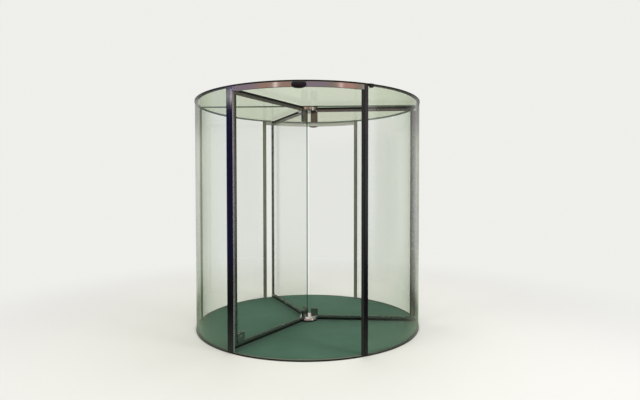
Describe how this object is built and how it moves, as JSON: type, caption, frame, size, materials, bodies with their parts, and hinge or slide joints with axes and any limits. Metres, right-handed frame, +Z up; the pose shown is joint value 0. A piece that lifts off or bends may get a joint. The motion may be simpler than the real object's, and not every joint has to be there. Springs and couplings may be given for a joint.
{
  "type": "revolving door",
  "caption": "Automatic revolving door: a drum of curved glass with slim posts and a glass ceiling round glass wings that turn together on a floor bearing.",
  "frame": {"origin": "on the axis of rotation, at the underside of the floor ring", "axes": "+Z up along the axis of rotation, -Y out to the street through the front entrance, +X to the right as seen from the street, along the facade"},
  "size_m": [2.4, 2.468, 2.375],
  "materials": {
    "wall_glass": "clear, slightly green",
    "wing_glass": "clear, slightly green",
    "post_metal": "glossy black",
    "dark_metal": "satin black",
    "polished_steel": "polished",
    "rail_metal": "satin",
    "brush": "bristle pile",
    "rubber": "matt",
    "mat": "ribbed pile",
    "sensor_plastic": "glossy"
  },
  "bodies": {
    "drum": {"floor_mat": "mat", "floor_ring": "dark_metal", "floor_bearing": "polished_steel", "left_front_glass": "wall_glass", "left_rear_glass": "wall_glass", "right_front_glass": "wall_glass", "right_rear_glass": "wall_glass", "front_left_post": "post_metal", "front_right_post": "post_metal", "rear_left_post": "post_metal", "rear_right_post": "post_metal", "post_cover": "rail_metal", "safety_edge": "rubber", "left_facade_joint": "dark_metal", "right_facade_joint": "dark_metal", "front_header": "polished_steel", "rear_header": "polished_steel", "top_ring": "dark_metal", "front_ceiling_glass": "wall_glass", "rear_ceiling_glass": "wall_glass", "ceiling_joint": "dark_metal", "top_bearing": "polished_steel", "front_sensor": "sensor_plastic", "rear_sensor": "sensor_plastic", "safety_sensor": "sensor_plastic"},
    "wings": {"hub_base": "polished_steel", "hub_cap": "polished_steel", "hub_seals": "brush", "lower_clamps": "polished_steel", "upper_clamps": "polished_steel", "wing_a_glass": "wing_glass", "wing_a_top_rail": "rail_metal", "wing_a_bottom_rail": "rail_metal", "wing_a_stile": "rail_metal", "wing_a_brushes": "brush", "wing_b_glass": "wing_glass", "wing_b_top_rail": "rail_metal", "wing_b_bottom_rail": "rail_metal", "wing_b_stile": "rail_metal", "wing_b_brushes": "brush", "wing_c_glass": "wing_glass", "wing_c_top_rail": "rail_metal", "wing_c_bottom_rail": "rail_metal", "wing_c_stile": "rail_metal", "wing_c_brushes": "brush", "leaf_lock": "polished_steel"}
  },
  "joints": [
    {"name": "wings_turn", "type": "hinge", "parent": "drum", "child": "wings", "pos_m": [0, 0, 0.03], "axis": [0, 0, 1], "continuous": true}
  ]
}
